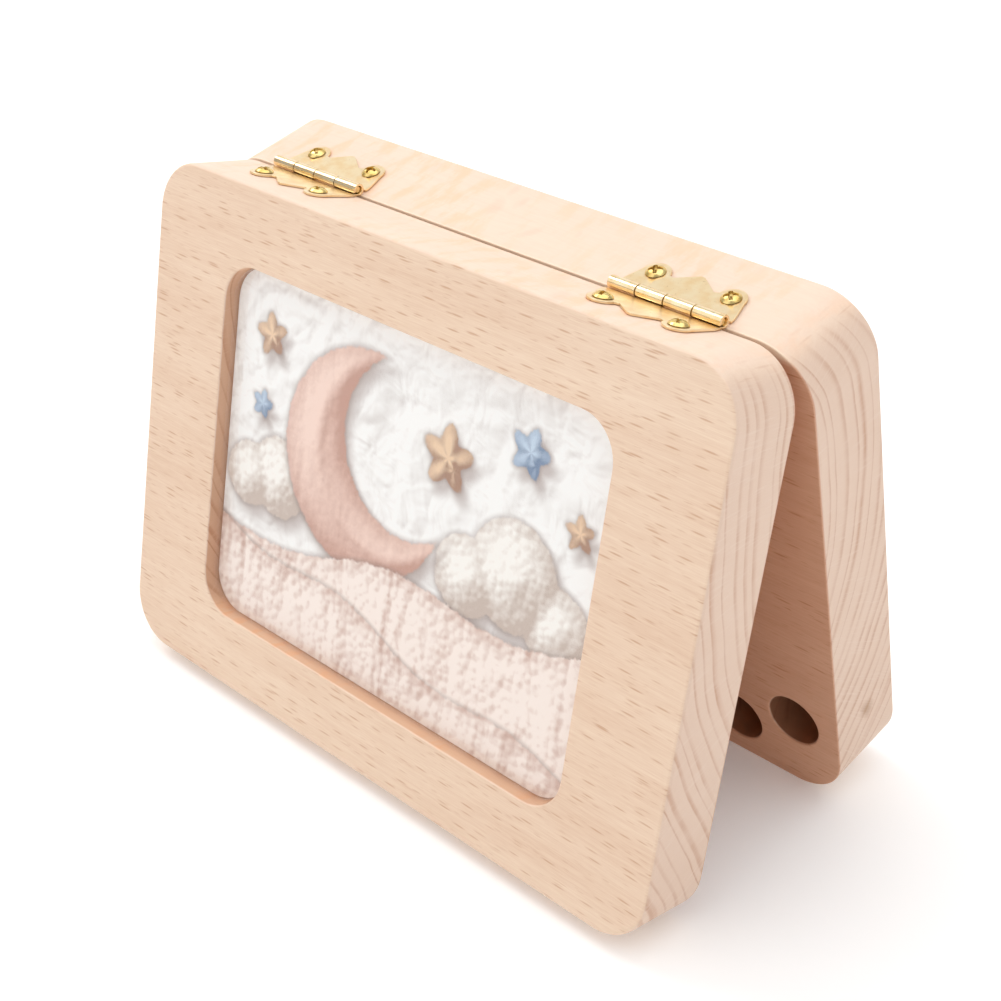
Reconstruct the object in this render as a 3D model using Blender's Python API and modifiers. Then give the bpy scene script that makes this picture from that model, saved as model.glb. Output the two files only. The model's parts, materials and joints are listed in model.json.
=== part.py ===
"""Wooden keepsake box for milk teeth: two beech halves on a pair of brass butterfly hinges.

The box stands open like a tent, on the inner bottom edges of its halves. Each half is modelled
in its own upright frame, whose origin is the hinge pins' axis: X runs along the box, local Z is
up along the half, and a thickness is measured away from the plane where the halves meet. An
empty for each half carries that frame and tilts it. Lengths are in metres.
"""
import math

import bmesh
import bpy
from mathutils import Matrix, Vector

# Halves
BOX_LENGTH = 0.130
BOX_HEIGHT = 0.0944
FRONT_THICKNESS = 0.0138
BACK_THICKNESS = 0.0162
CORNER_RADIUS = 0.0095
OUTER_EASE = 0.0006
INNER_EASE = 0.0002
CLOSED_GAP = 0.0003
OPEN_ANGLE = math.radians(24.55)

# Photo window, print and pane
WINDOW_SIDE_MARGIN = 0.020
WINDOW_TOP_MARGIN = 0.014
WINDOW_BOTTOM_MARGIN = 0.0139
WINDOW_CORNER_RADIUS = 0.0072
PANE_INSET = 0.0018
PANE_THICKNESS = 0.001
PRINT_THICKNESS = 0.0003
SHEET_FACE_GAP = 0.0002
SHEET_EDGE_GAP = 0.0003

# Tooth holes, one row in each half, with its two end holes raised
TOOTH_HOLE_DIAMETER = 0.0101
TOOTH_HOLE_PITCH = 0.0124
TOOTH_HOLE_DEPTH = 0.009
TOOTH_ROW_SIDE_MARGIN = 0.009
TOOTH_ROW_BOTTOM_MARGIN = 0.0085
TOOTH_ROW_END_RISE = 0.0063

# Keepsake recess in the back half
KEEPSAKE_SIDE_MARGIN = 0.037
KEEPSAKE_TOP_MARGIN = 0.022
KEEPSAKE_BOTTOM_MARGIN = 0.034
KEEPSAKE_DEPTH = 0.009
KEEPSAKE_CORNER_RADIUS = 0.007

# Hinges: a sheet leaf with rolled knuckles on each half, and a pin
HINGE_END_MARGIN = 0.0256
BARREL_LENGTH = 0.0216
KNUCKLE_COUNT = 4
KNUCKLE_GAP = 0.0002
KNUCKLE_SIDE_CLEARANCE = 0.0002
LEAF_THICKNESS = 0.0004
LEAF_LIFT = 0.0001
PIN_DIAMETER = 0.0012
PIN_CLEARANCE = 0.0001
PIN_END_INSET = 0.0003
ROLL_ANGLE = math.radians(290)
LEAF_SHOULDER = 0.0022
LOBE_RADIUS = 0.0025
NOTCH_OFFSET = 0.0033
NOTCH_REACH = 0.0061
PEAK_WIDTH = 0.0008
PEAK_REACH = 0.0085

# Screws: raised countersunk heads with a cross recess
SCREW_END_MARGIN = 0.0036
SCREW_REACH = 0.006
SCREW_HEAD_DIAMETER = 0.0033
SCREW_DOME_HEIGHT = 0.0007
SCREW_SHANK_DIAMETER = 0.0016
SCREW_LENGTH = 0.008
SCREW_TIP_LENGTH = 0.0018
SCREW_CLEARANCE = 0.0001
CROSS_WIDTH = 0.0019
CROSS_SLOT = 0.0006
CROSS_TIP = 0.0004
CROSS_DEPTH = 0.0008

# How far a cutter runs past the face that it cuts, and how close two points are one point
OVERRUN = 0.001
WELD_DISTANCE = 0.000001

# Segments of round shapes
CORNER_SEGMENTS = 8
EASE_SEGMENTS = 3
HOLE_SEGMENTS = 24
PILOT_SEGMENTS = 10
ROLL_SEGMENTS = 18
LOBE_SEGMENTS = 10
SCREW_SEGMENTS = 20
DOME_SEGMENTS = 4

# Places that follow from the sizes
SCREW_SPACING = BARREL_LENGTH - 2 * SCREW_END_MARGIN
TILT = OPEN_ANGLE / 2
FACE_OFFSET = CLOSED_GAP / 2
ROLL_RADIUS = PIN_DIAMETER / 2 + PIN_CLEARANCE + LEAF_THICKNESS / 2
BARREL_RADIUS = ROLL_RADIUS + LEAF_THICKNESS / 2
TOP_FACE = -(BARREL_RADIUS + LEAF_LIFT)
BOTTOM_FACE = TOP_FACE - BOX_HEIGHT
LEAF_TOP = TOP_FACE + LEAF_LIFT + LEAF_THICKNESS
PIN_PLACE = Vector((
    0,
    (FRONT_THICKNESS - BACK_THICKNESS) / 2 * math.cos(TILT),
    -BOTTOM_FACE * math.cos(TILT) - (FACE_OFFSET + INNER_EASE) * math.sin(TILT),
))
HINGE_PLACES = {"left": HINGE_END_MARGIN - BOX_LENGTH / 2, "right": BOX_LENGTH / 2 - HINGE_END_MARGIN}
SIDES = {"front": -1, "back": 1}


def clear_scene():
    """Remove whatever the new file holds."""
    for thing in list(bpy.data.objects):
        bpy.data.objects.remove(thing)


def new_collection(name):
    """Add a collection to the scene."""
    collection = bpy.data.collections.new(name)
    bpy.context.scene.collection.children.link(collection)
    return collection


def new_material(name, colour, roughness, metallic=0.0, transmission=0.0):
    """A Principled BSDF with a plain colour."""
    material = bpy.data.materials.new(name)
    material.use_nodes = True
    shader = material.node_tree.nodes["Principled BSDF"]
    shader.inputs["Base Color"].default_value = (*colour, 1)
    shader.inputs["Roughness"].default_value = roughness
    shader.inputs["Metallic"].default_value = metallic
    shader.inputs["Transmission Weight"].default_value = transmission
    return material


def place(name, mesh, collection, parent=None, location=(0, 0, 0), turn=0.0):
    """Add an object at a place in its parent's frame, turned about local Z."""
    thing = bpy.data.objects.new(name, mesh)
    collection.objects.link(thing)
    thing.parent = parent
    thing.location = location
    thing.rotation_euler = (0, 0, turn)
    return thing


def add_piece(name, mesh, parent, material, location=(0, 0, 0), turn=0.0):
    """Add a piece of the box, smooth but for its real edges."""
    if not mesh.materials:
        mesh.materials.append(material)
    mesh.shade_smooth()
    mesh.set_sharp_from_angle(angle=math.radians(35))
    return place(name, mesh, box, parent, location, turn)


def add_cutter(name, mesh, parent=None, location=(0, 0, 0)):
    """Add a guide solid that only cuts other pieces."""
    cutter = place(name, mesh, cutters, parent, location)
    cutter.hide_render = True
    cutter.display_type = "WIRE"
    return cutter


def boolean(thing, cutter, operation="DIFFERENCE"):
    """Cut a piece with a cutter, or keep what they share."""
    modifier = thing.modifiers.new(cutter.name, "BOOLEAN")
    modifier.operation = operation
    modifier.solver = "EXACT"
    modifier.object = cutter


def finished_mesh(thing):
    """The mesh of an object with its modifiers applied and its loose caps welded; the object goes."""
    depsgraph = bpy.context.evaluated_depsgraph_get()
    mesh = bpy.data.meshes.new_from_object(thing.evaluated_get(depsgraph))
    weld = bmesh.new()
    weld.from_mesh(mesh)
    bmesh.ops.remove_doubles(weld, verts=weld.verts, dist=WELD_DISTANCE)
    weld.to_mesh(mesh)
    weld.free()
    bpy.data.objects.remove(thing)
    return mesh


def rounded_block(low, high, radius, outer_ease=0.0, inner_ease=0.0, side=1):
    """A block with its four corners rounded about Y and the rims of its two faces eased."""
    low, high = Vector(low), Vector(high)
    block = bmesh.new()
    bmesh.ops.create_cube(block, size=1)
    size = high - low
    bmesh.ops.scale(block, vec=size, verts=block.verts)
    bmesh.ops.translate(block, vec=(low + high) / 2, verts=block.verts)
    corners = [edge for edge in block.edges if edge.verts[0].co.y != edge.verts[1].co.y]
    bmesh.ops.bevel(block, geom=corners, offset=radius, segments=CORNER_SEGMENTS, profile=0.5, affect="EDGES")
    faces = {1: high.y, -1: low.y}
    for rim, ease, segments in ((side, outer_ease, EASE_SEGMENTS), (-side, inner_ease, 1)):
        if ease:
            edges = [edge for edge in block.edges
                     if all(abs(vert.co.y - faces[rim]) < WELD_DISTANCE for vert in edge.verts)]
            bmesh.ops.bevel(block, geom=edges, offset=ease, segments=segments, profile=0.5, affect="EDGES")
    mesh = bpy.data.meshes.new("rounded_block")
    block.to_mesh(mesh)
    block.free()
    return mesh


def outline_plate(points, thickness):
    """A flat closed outline in X and Y, made a plate that is centred on its plane."""
    curve = bpy.data.curves.new("outline", "CURVE")
    curve.dimensions = "2D"
    curve.fill_mode = "BOTH"
    curve.extrude = thickness / 2
    spline = curve.splines.new("POLY")
    spline.points.add(len(points) - 1)
    for point, (x, y) in zip(spline.points, points):
        point.co = (x, y, 0, 1)
    spline.use_cyclic_u = True
    return finished_mesh(place("outline", curve, cutters))


def turned_mesh(profile, steps):
    """A profile of radii and heights, listed from the top down, turned about Z."""
    mesh = bpy.data.meshes.new("profile")
    mesh.from_pydata([(radius, 0, height) for radius, height in profile],
                     [(index, index + 1) for index in range(len(profile) - 1)], [])
    thing = place("profile", mesh, cutters)
    screw = thing.modifiers.new("turn", "SCREW")
    screw.steps = steps
    screw.render_steps = steps
    screw.use_merge_vertices = True
    screw.merge_threshold = WELD_DISTANCE
    return finished_mesh(thing)


def add_rods(name, parent, places, radius, start, end, axis, segments):
    """One cutter with a round rod at each place, along an axis from start to end."""
    rods = bmesh.new()
    turn = Matrix.Rotation(math.radians(90), 4, "X") if axis == "Y" else Matrix.Identity(4)
    middle = Vector((0, (start + end) / 2, 0)) if axis == "Y" else Vector((0, 0, (start + end) / 2))
    for spot in places:
        bmesh.ops.create_cone(rods, cap_ends=True, segments=segments, radius1=radius, radius2=radius,
                              depth=abs(end - start), matrix=Matrix.Translation(Vector(spot) + middle) @ turn)
    mesh = bpy.data.meshes.new(name)
    rods.to_mesh(mesh)
    rods.free()
    return add_cutter(name, mesh, parent)


def tooth_places():
    """The centres of as many tooth holes as the length takes; the two at the row's ends stand higher."""
    last = math.floor((BOX_LENGTH - 2 * TOOTH_ROW_SIDE_MARGIN) / TOOTH_HOLE_PITCH)
    for index in range(last + 1):
        rise = TOOTH_ROW_END_RISE if index in (0, last) else 0
        yield ((index - last / 2) * TOOTH_HOLE_PITCH, 0, BOTTOM_FACE + TOOTH_ROW_BOTTOM_MARGIN + rise)


def screw_places(side):
    """Where a half's screws stand, on its hinges' screw lines."""
    for hinge, centre in HINGE_PLACES.items():
        for end, shift in (("left", -SCREW_SPACING / 2), ("right", SCREW_SPACING / 2)):
            yield hinge, end, (centre + shift, side * SCREW_REACH, 0)


def make_half(name, thickness, parent):
    """A block with a row of tooth holes in its inner face and pilot holes in its top."""
    side = SIDES[name]
    faces = sorted((side * FACE_OFFSET, side * (FACE_OFFSET + thickness)))
    mesh = rounded_block((-BOX_LENGTH / 2, faces[0], BOTTOM_FACE), (BOX_LENGTH / 2, faces[1], TOP_FACE),
                         CORNER_RADIUS, OUTER_EASE, INNER_EASE, side)
    half = add_piece(f"{name}_half", mesh, parent, beech)
    boolean(half, add_rods(f"{name}_tooth_holes", parent, tooth_places(), TOOTH_HOLE_DIAMETER / 2,
                           side * (FACE_OFFSET - OVERRUN), side * (FACE_OFFSET + TOOTH_HOLE_DEPTH),
                           "Y", HOLE_SEGMENTS))
    boolean(half, add_rods(f"{name}_pilot_holes", parent, [spot for _, _, spot in screw_places(side)],
                           SCREW_SHANK_DIAMETER / 2 + SCREW_CLEARANCE,
                           TOP_FACE + OVERRUN, TOP_FACE + LEAF_LIFT - SCREW_LENGTH - SCREW_CLEARANCE,
                           "Z", PILOT_SEGMENTS))
    return half


def window_block(outer, inner, edge_gap):
    """A block in the photo window, between two depths from the front half's outer face."""
    face = -(FACE_OFFSET + FRONT_THICKNESS)
    half_width = BOX_LENGTH / 2 - WINDOW_SIDE_MARGIN - edge_gap
    bottom = BOTTOM_FACE + WINDOW_BOTTOM_MARGIN + edge_gap
    top = TOP_FACE - WINDOW_TOP_MARGIN - edge_gap
    return rounded_block((-half_width, face + outer, bottom), (half_width, face + inner, top),
                         WINDOW_CORNER_RADIUS - edge_gap)


def make_window(front):
    """Cut the photo window and lay the print and the clear pane in it."""
    pane_back = PANE_INSET + PANE_THICKNESS
    print_face = pane_back + SHEET_FACE_GAP
    print_back = print_face + PRINT_THICKNESS
    window = window_block(-OVERRUN, print_back + SHEET_FACE_GAP, 0)
    boolean(front, add_cutter("photo_window", window, front.parent))
    add_piece("photo_print", window_block(print_face, print_back, SHEET_EDGE_GAP), front.parent, card)
    add_piece("clear_pane", window_block(PANE_INSET, pane_back, SHEET_EDGE_GAP), front.parent, acrylic)


def make_keepsake_recess(back):
    """Cut the shallow recess for a curl of hair in the middle of the back half's inner face."""
    mesh = rounded_block(
        (KEEPSAKE_SIDE_MARGIN - BOX_LENGTH / 2, FACE_OFFSET - OVERRUN, BOTTOM_FACE + KEEPSAKE_BOTTOM_MARGIN),
        (BOX_LENGTH / 2 - KEEPSAKE_SIDE_MARGIN, FACE_OFFSET + KEEPSAKE_DEPTH, TOP_FACE - KEEPSAKE_TOP_MARGIN),
        KEEPSAKE_CORNER_RADIUS)
    boolean(back, add_cutter("keepsake_recess", mesh, back.parent))


def leaf_outline():
    """Half a hinge's outline: the barrel, two round lobes and a blunt peak between them."""
    lobe_x = SCREW_SPACING / 2
    start = math.atan2(NOTCH_REACH - SCREW_REACH, -NOTCH_OFFSET)
    right = [(PEAK_WIDTH / 2, PEAK_REACH), (lobe_x - NOTCH_OFFSET, NOTCH_REACH)]
    for step in range(1, LOBE_SEGMENTS + 1):
        angle = start * (1 - step / LOBE_SEGMENTS)
        right.append((lobe_x + LOBE_RADIUS * math.cos(angle), SCREW_REACH + LOBE_RADIUS * math.sin(angle)))
    right += [(BARREL_LENGTH / 2, LEAF_SHOULDER), (BARREL_LENGTH / 2, -BARREL_RADIUS - OVERRUN)]
    return right + [(-x, y) for x, y in reversed(right)]


def rolled_sheet():
    """The leaf's blank: a flat sheet whose edge is rolled round the pin, as long as the barrel."""
    reach = max(PEAK_REACH, SCREW_REACH + LOBE_RADIUS) + OVERRUN
    path = [(reach, -ROLL_RADIUS)]
    for step in range(ROLL_SEGMENTS + 1):
        angle = -math.pi / 2 - ROLL_ANGLE * step / ROLL_SEGMENTS
        path.append((ROLL_RADIUS * math.cos(angle), ROLL_RADIUS * math.sin(angle)))
    half = BARREL_LENGTH / 2 + OVERRUN
    sheet = bmesh.new()
    verts = [sheet.verts.new((-half, y, z)) for y, z in path]
    edges = [sheet.edges.new(pair) for pair in zip(verts, verts[1:])]
    extruded = bmesh.ops.extrude_edge_only(sheet, edges=edges)["geom"]
    moved = [item for item in extruded if isinstance(item, bmesh.types.BMVert)]
    bmesh.ops.translate(sheet, vec=(2 * half, 0, 0), verts=moved)
    mesh = bpy.data.meshes.new("rolled_sheet")
    sheet.to_mesh(mesh)
    sheet.free()
    return mesh


def screw_profile(growth=0.0):
    """A screw's radii and heights from its rim down, or those of the hole that takes it."""
    rim = SCREW_HEAD_DIAMETER / 2 + growth
    shank = SCREW_SHANK_DIAMETER / 2 + growth
    neck = -(LEAF_THICKNESS + SCREW_CLEARANCE)
    return rim, shank, neck


def make_leaf_mesh():
    """One leaf: the rolled sheet cut to its outline, with room for the other leaf's knuckles."""
    leaf = place("leaf", rolled_sheet(), cutters)
    sheet = leaf.modifiers.new("sheet", "SOLIDIFY")
    sheet.thickness = LEAF_THICKNESS
    sheet.offset = 0
    sheet.use_even_offset = True
    tall = 2 * (BARREL_RADIUS + OVERRUN)
    boolean(leaf, add_cutter("leaf_outline", outline_plate(leaf_outline(), tall)), "INTERSECT")
    pitch = BARREL_LENGTH / KNUCKLE_COUNT
    near, far = -BARREL_RADIUS - OVERRUN, BARREL_RADIUS + KNUCKLE_SIDE_CLEARANCE
    for slot in range(1, KNUCKLE_COUNT, 2):
        start = slot * pitch - BARREL_LENGTH / 2 - KNUCKLE_GAP / 2
        end = start + pitch + KNUCKLE_GAP
        if slot == KNUCKLE_COUNT - 1:
            end += OVERRUN
        mesh = outline_plate([(start, near), (end, near), (end, far), (start, far)], tall)
        boolean(leaf, add_cutter(f"knuckle_slot_{slot}", mesh))
    rim, shank, neck = screw_profile(SCREW_CLEARANCE)
    hole = turned_mesh([(0, OVERRUN), (rim, OVERRUN), (rim, 0), (shank, neck), (shank, neck - OVERRUN),
                        (0, neck - OVERRUN)], SCREW_SEGMENTS)
    for end in (-1, 1):
        boolean(leaf, add_cutter("screw_hole", hole, None,
                                 (end * SCREW_SPACING / 2, SCREW_REACH, LEAF_TOP + SCREW_CLEARANCE)))
    return finished_mesh(leaf)


def make_screw_mesh():
    """A screw: a low dome with a cross recess, a countersunk neck, a shank and a point."""
    rim, shank, neck = screw_profile()
    dome_radius = (rim ** 2 + SCREW_DOME_HEIGHT ** 2) / (2 * SCREW_DOME_HEIGHT)
    spread = math.asin(rim / dome_radius)
    profile = []
    for step in range(DOME_SEGMENTS + 1):
        angle = spread * step / DOME_SEGMENTS
        profile.append((dome_radius * math.sin(angle),
                        SCREW_DOME_HEIGHT - dome_radius * (1 - math.cos(angle))))
    end = neck - SCREW_LENGTH
    profile += [(shank, neck), (shank, end + SCREW_TIP_LENGTH), (0, end)]
    screw = place("screw", turned_mesh(profile, SCREW_SEGMENTS), cutters)
    wide, narrow, tip = CROSS_WIDTH / 2, CROSS_SLOT / 2, CROSS_TIP / 2
    arm = [(wide, -tip), (wide, tip), (narrow, narrow)]
    cross = []
    for _ in range(4):
        cross += arm
        arm = [(-y, x) for x, y in arm]
    depth = CROSS_DEPTH + OVERRUN
    middle = SCREW_DOME_HEIGHT - CROSS_DEPTH + depth / 2
    boolean(screw, add_cutter("cross_recess", outline_plate(cross, depth), None, (0, 0, middle)))
    return finished_mesh(screw)


def make_pin_mesh():
    """The pin, lying along X."""
    pin = bmesh.new()
    bmesh.ops.create_cone(pin, cap_ends=True, segments=HOLE_SEGMENTS, radius1=PIN_DIAMETER / 2,
                          radius2=PIN_DIAMETER / 2, depth=BARREL_LENGTH - 2 * PIN_END_INSET,
                          matrix=Matrix.Rotation(math.radians(90), 4, "Y"))
    mesh = bpy.data.meshes.new("pin")
    pin.to_mesh(mesh)
    pin.free()
    return mesh


def make_hinges(frames):
    """Both hinges: a leaf and two screws on each half, and a pin that stays with the back half."""
    leaf, screw, pin = make_leaf_mesh(), make_screw_mesh(), make_pin_mesh()
    for hinge, centre in HINGE_PLACES.items():
        for half in SIDES:
            turn = math.pi if half == "front" else 0
            add_piece(f"{hinge}_hinge_{half}_leaf", leaf, frames[half], brass, (centre, 0, 0), turn)
        add_piece(f"{hinge}_hinge_pin", pin, frames["back"], brass, (centre, 0, 0))
    seat = Vector((0, 0, LEAF_TOP + SCREW_CLEARANCE))
    for half, side in SIDES.items():
        for hinge, end, spot in screw_places(side):
            name = f"{hinge}_hinge_{half}_{end}_screw"
            add_piece(name, screw, frames[half], screw_brass, Vector(spot) + seat)


def add_frame(name, tilt):
    """An empty on the pins' axis, tilted with the half that it carries."""
    frame = place(name, None, box, None, PIN_PLACE)
    frame.rotation_euler = (tilt, 0, 0)
    return frame


clear_scene()
box = new_collection("tooth_box")
cutters = new_collection("cutters")
beech = new_material("beech", (0.80, 0.62, 0.47), 0.55)
card = new_material("printed_card", (0.86, 0.78, 0.70), 0.5)
acrylic = new_material("clear_acrylic", (1, 1, 1), 0.05, transmission=1)
brass = new_material("polished_brass", (0.90, 0.72, 0.38), 0.2, metallic=1)
screw_brass = new_material("screw_brass", (0.86, 0.66, 0.30), 0.28, metallic=1)
frames = {"front": add_frame("front_frame", -TILT), "back": add_frame("back_frame", TILT)}
front_half = make_half("front", FRONT_THICKNESS, frames["front"])
back_half = make_half("back", BACK_THICKNESS, frames["back"])
make_window(front_half)
make_keepsake_recess(back_half)
make_hinges(frames)
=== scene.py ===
"""The finish of a wooden keepsake box for milk teeth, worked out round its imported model.

Meshes are in metres. The materials' patterns are in millimetres.
"""

import json
import math

import bmesh
import bpy
import numpy as np
from mathutils import Matrix, Vector
from mathutils.geometry import delaunay_2d_cdt


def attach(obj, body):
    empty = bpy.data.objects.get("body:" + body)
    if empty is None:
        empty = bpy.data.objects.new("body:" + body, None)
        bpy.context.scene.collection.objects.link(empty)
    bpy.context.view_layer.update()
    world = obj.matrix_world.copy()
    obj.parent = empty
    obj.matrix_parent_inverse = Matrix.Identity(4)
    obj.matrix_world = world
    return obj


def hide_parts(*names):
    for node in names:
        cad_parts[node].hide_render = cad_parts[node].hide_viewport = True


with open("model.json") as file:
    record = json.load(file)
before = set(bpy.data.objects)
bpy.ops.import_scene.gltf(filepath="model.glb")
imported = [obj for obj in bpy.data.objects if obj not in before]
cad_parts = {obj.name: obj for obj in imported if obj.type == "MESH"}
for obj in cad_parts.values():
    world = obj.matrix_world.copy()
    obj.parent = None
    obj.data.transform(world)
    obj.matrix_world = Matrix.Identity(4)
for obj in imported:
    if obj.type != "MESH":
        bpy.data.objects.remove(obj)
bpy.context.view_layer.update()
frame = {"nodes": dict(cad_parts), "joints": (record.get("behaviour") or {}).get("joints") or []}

# Beech halves: solid kiln-dried beech, planed, with routed corners and rims sanded round. In the
# front half's face is a pocket for the photo. Each half has a row of drilled holes for the teeth
# in its inner face, and the back half also has a routed recess for a curl of hair.
CORNER_RADIUS = 0.0095
OUTER_EASE = 0.0007
INNER_EASE = 0.0002
RIM_EASE = 0.0004
CORNER_STEPS = 20
EASE_STEPS = 5
PHOTO_POCKET_RADIUS = 0.0072
PHOTO_POCKET_DEPTH = 0.0035
SHEET_GAP = 0.0003
TOOTH_HOLE_RADIUS = 0.00505
TOOTH_HOLE_DEPTH = 0.009
TOOTH_HOLE_PITCH = 0.0124
TOOTH_HOLE_COUNT = 10
TOOTH_ROW_BOTTOM_MARGIN = 0.0085
TOOTH_ROW_END_RISE = 0.0063
DRILL_POINT_RADIUS = 0.0008
DRILL_POINT_TIP = 0.0001
DRILL_POINT_DEPTH = 0.0006
RECESS_SIDE_MARGIN = 0.037
RECESS_TOP_MARGIN = 0.022
RECESS_BOTTOM_MARGIN = 0.034
RECESS_DEPTH = 0.009
RECESS_RADIUS = 0.007
FLOOR_FILLET = 0.0005

# The box stands open like a tent, on the inner bottom edges of its halves. Each half is worked
# out upright in its own frame, whose origin is the hinge pins' axis: x runs along the box, t is
# the distance from the plane where the halves meet, and z is up along the half.
HINGE = frame["joints"][0]
PIN_AXIS = Vector(HINGE["pos_m"])
TILT = -math.radians(HINGE["range_deg"][0]) / 2
SIDES = {"front": -1, "back": 1}
STAND = {half: Matrix.Translation(PIN_AXIS) @ Matrix.Rotation(side * TILT, 4, "X")
         for half, side in SIDES.items()}
MERGE_DISTANCE = 0.000002
SHARP_ANGLE = math.radians(40)


def own_box(node, half):
    """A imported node's lowest and highest x, t and z in the frame of its half."""
    mesh = frame["nodes"][node].data
    points = np.empty(len(mesh.vertices) * 3)
    mesh.vertices.foreach_get("co", points)
    turn = np.array(STAND[half].inverted())
    points = (points.reshape(-1, 3) @ turn[:3, :3].T + turn[:3, 3]) * (1, SIDES[half], 1)
    return points.min(axis=0), points.max(axis=0)


def joined_mesh(name, half, patches, grime=None):
    """One mesh from patches of points and faces in a half's frame, stood where the half stands.

    Points that meet are merged, and the faces are turned outwards, or on an open sheet to one
    side. Dirt and shade is a share for each point that the mesh's material may read, for dirt
    and painted shade.
    """
    corners, faces, first = [], [], 0
    for points, patch_faces in patches:
        corners.append(points)
        faces += [[first + corner for corner in face] for face in patch_faces]
        first += len(points)
    turn = np.array(STAND[half])
    points = (np.concatenate(corners) * (1, SIDES[half], 1)) @ turn[:3, :3].T + turn[:3, 3]
    mesh = bpy.data.meshes.new(name)
    mesh.from_pydata(points.tolist(), [], faces)
    if grime is not None:
        mesh.attributes.new("grime", "FLOAT", "POINT").data.foreach_set("value", grime.ravel())
    skin = bmesh.new()
    skin.from_mesh(mesh)
    bmesh.ops.remove_doubles(skin, verts=skin.verts, dist=MERGE_DISTANCE)
    bmesh.ops.recalc_face_normals(skin, faces=skin.faces)
    skin.to_mesh(mesh)
    skin.free()
    mesh.shade_smooth()
    mesh.set_sharp_from_angle(angle=SHARP_ANGLE)
    return mesh


def in_scene(name, data):
    """A new object that shows this mesh, light or camera."""
    thing = bpy.data.objects.new(name, data)
    bpy.context.scene.collection.objects.link(thing)
    return thing


def add_piece(name, mesh, half, finish, slot, *nodes):
    """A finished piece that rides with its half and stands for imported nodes."""
    piece = in_scene(name, mesh)
    mesh.materials.append(finish)
    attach(piece, half)
    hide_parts(*nodes)
    return piece


def even_shading(piece):
    """Let a piece's large flat faces set the shading where they run into a rounded edge."""
    weigh = piece.modifiers.new("even_shading", "WEIGHTED_NORMAL")
    weigh.keep_sharp = True


def round_outline(low, high, corner, inset=0.0, steps=CORNER_STEPS):
    """Points x and z round a rectangle whose corners are quarter circles, drawn in by an inset.

    Each is a corner's centre + (corner radius - inset) * (cos a, sin a), a quarter turn a corner.
    Where no straight side is left, as on a circle, the arcs share their ends.
    """
    turn = np.radians(90 * np.arange(4)[:, None] + np.linspace(0, 90, steps + 1))
    if max(high[0] - low[0], high[1] - low[1]) < 2 * corner + MERGE_DISTANCE:
        turn = turn[:, :-1]
    right = np.array([True, False, False, True])[:, None]
    upper = np.array([True, True, False, False])[:, None]
    x = np.where(right, high[0] - corner, low[0] + corner) + (corner - inset) * np.cos(turn)
    z = np.where(upper, high[1] - corner, low[1] + corner) + (corner - inset) * np.sin(turn)
    return np.stack([x, z], axis=-1).reshape(-1, 2)


def at_depth(outline, t):
    """An outline in x and z, laid at one distance from the meeting plane."""
    return np.insert(outline, 1, t, axis=1)


def ring_grid(rows, closed=True):
    """Quads between rows of points, where each row closes on itself unless the grid is open."""
    rows = np.asarray(rows)
    index = np.arange(rows.shape[0] * rows.shape[1]).reshape(rows.shape[:2])
    following = np.roll(index, -1, axis=1)
    if not closed:
        index, following = index[:, :-1], index[:, 1:]
    faces = np.stack([index[:-1], following[:-1], following[1:], index[1:]], axis=-1)
    return rows.reshape(-1, 3), faces.reshape(-1, 4).tolist()


def one_face(points):
    """A patch of a single flat face."""
    return points, [list(range(len(points)))]


def quarter_round(ease, steps=EASE_STEPS):
    """Insets ease * (1 - sin a) and depths ease * (1 - cos a) down a quarter-round edge."""
    turn = np.radians(np.linspace(0, 90, steps + 1))
    return ease * (1 - np.sin(turn)), ease * (1 - np.cos(turn))


def flat_fill(outline, holes, t):
    """Triangles between a flat outline and its holes, which keep the edges of both.

    A triangle whose corners all lie on one hole is inside that hole, and is left out.
    """
    loops = [outline, *holes]
    starts = np.cumsum([0] + [len(loop) for loop in loops])
    edges = [(start + step, start + (step + 1) % len(loop))
             for start, loop in zip(starts.tolist(), loops) for step in range(len(loop))]
    flat = [Vector(point) for point in np.concatenate(loops)]
    filled = delaunay_2d_cdt(flat, edges, [], 1, MERGE_DISTANCE / 2)
    loop_of = [int(np.searchsorted(starts, origin[0], side="right")) for origin in filled[3]]
    kept = [face for face in filled[2]
            if len({loop_of[corner] for corner in face}) > 1 or loop_of[face[0]] == 1]
    return at_depth(np.array([tuple(corner) for corner in filled[0]]), t), kept


def pocket(low, high, corner, face, way, depth, fillet, point=()):
    """A round-cornered pocket in a face: eased rim, upright wall, fillet and flat floor.

    way is the sign of its depth in t, and point holds further insets and depths in its floor.
    Returns the rim's outline and the patches below it.
    """
    rim_inset, rim_depth = quarter_round(RIM_EASE)
    fillet_inset, fillet_depth = quarter_round(fillet)
    insets = [*-rim_inset, *fillet_inset[::-1], *(inset for inset, _ in point)]
    depths = [*rim_depth, *(depth - fillet_depth[::-1]), *(deep for _, deep in point)]
    rows = [at_depth(round_outline(low, high, corner, inset), face + way * deep)
            for inset, deep in zip(insets, depths)]
    return round_outline(low, high, corner, insets[0]), [ring_grid(rows), one_face(rows[-1])]


def block_patches(low, high, corner, near_ease, far_ease):
    """A block's rounded edges as one band, and its outlines on the near and the far face."""
    near_inset, near_depth = quarter_round(near_ease)
    far_inset, far_depth = quarter_round(far_ease)
    insets = [*near_inset, *far_inset[::-1]]
    depths = [*(low[1] + near_depth), *(high[1] - far_depth[::-1])]
    rows = [at_depth(round_outline(low[::2], high[::2], corner, inset), t)
            for inset, t in zip(insets, depths)]
    return ring_grid(rows), rows[0][:, ::2], rows[-1][:, ::2]


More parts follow.
